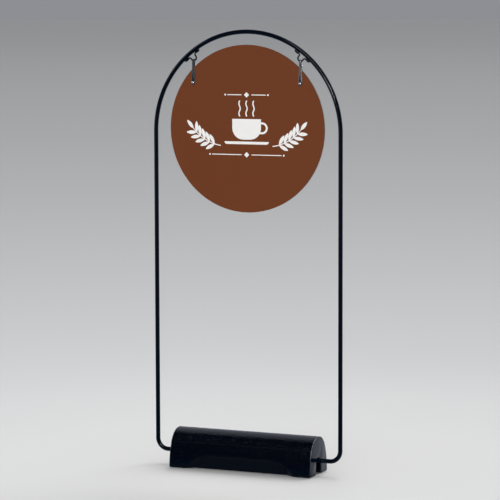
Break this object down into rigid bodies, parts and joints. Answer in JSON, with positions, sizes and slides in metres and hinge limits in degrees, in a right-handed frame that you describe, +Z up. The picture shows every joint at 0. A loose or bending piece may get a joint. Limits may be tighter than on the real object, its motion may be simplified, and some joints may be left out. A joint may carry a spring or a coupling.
{
  "type": "freestanding hoop sign",
  "caption": "Tall bent-bar hoop on a heavy crowned base, with a blank round panel that swings from two strap hangers under the arch.",
  "frame": {"origin": "on the floor, under the middle of the base", "axes": "+X along the base to the viewer's right, -Y towards the viewer, +Z up"},
  "size_m": [0.46, 0.105, 0.993],
  "materials": {
    "base_paint": "thick black paint over a rough sand-cast surface, smooth and glossy on the ground end faces",
    "hoop_paint": "satin black paint on drawn steel bar and wire",
    "strap_steel": "stainless strip, rolled finish with light edges",
    "screw_steel": "bright polished stainless steel",
    "plated_steel": "zinc plated",
    "rubber": "moulded black rubber",
    "board_core": "dark grey plastic core, seen only at the panel's rim",
    "board_skin": "thin rolled skin, seen only as a line at the rim",
    "print_film": "matt brown printed film"
  },
  "bodies": {
    "stand": {"base_casting": "base_paint", "base_feet": "rubber", "left_bar_clamp": "plated_steel", "right_bar_clamp": "plated_steel", "left_clamp_washers": "plated_steel", "right_clamp_washers": "plated_steel", "left_clamp_screws": "plated_steel", "right_clamp_screws": "plated_steel", "hoop_frame": "hoop_paint", "left_eye_loop": "hoop_paint", "right_eye_loop": "hoop_paint"},
    "sign": {"left_strap_hanger": "strap_steel", "right_strap_hanger": "strap_steel", "left_hanger_screw": "screw_steel", "right_hanger_screw": "screw_steel", "left_rear_washer": "screw_steel", "right_rear_washer": "screw_steel", "left_cap_nut": "screw_steel", "right_cap_nut": "screw_steel", "panel_core": "board_core", "panel_front_skin": "board_skin", "panel_rear_skin": "board_skin", "front_print_film": "print_film", "rear_print_film": "print_film"}
  },
  "joints": [
    {"name": "sign_swing", "type": "hinge", "parent": "stand", "child": "sign", "pos_m": [0, 0, 0.92302], "axis": [1, 0, 0], "range_deg": [-80, 80]}
  ]
}
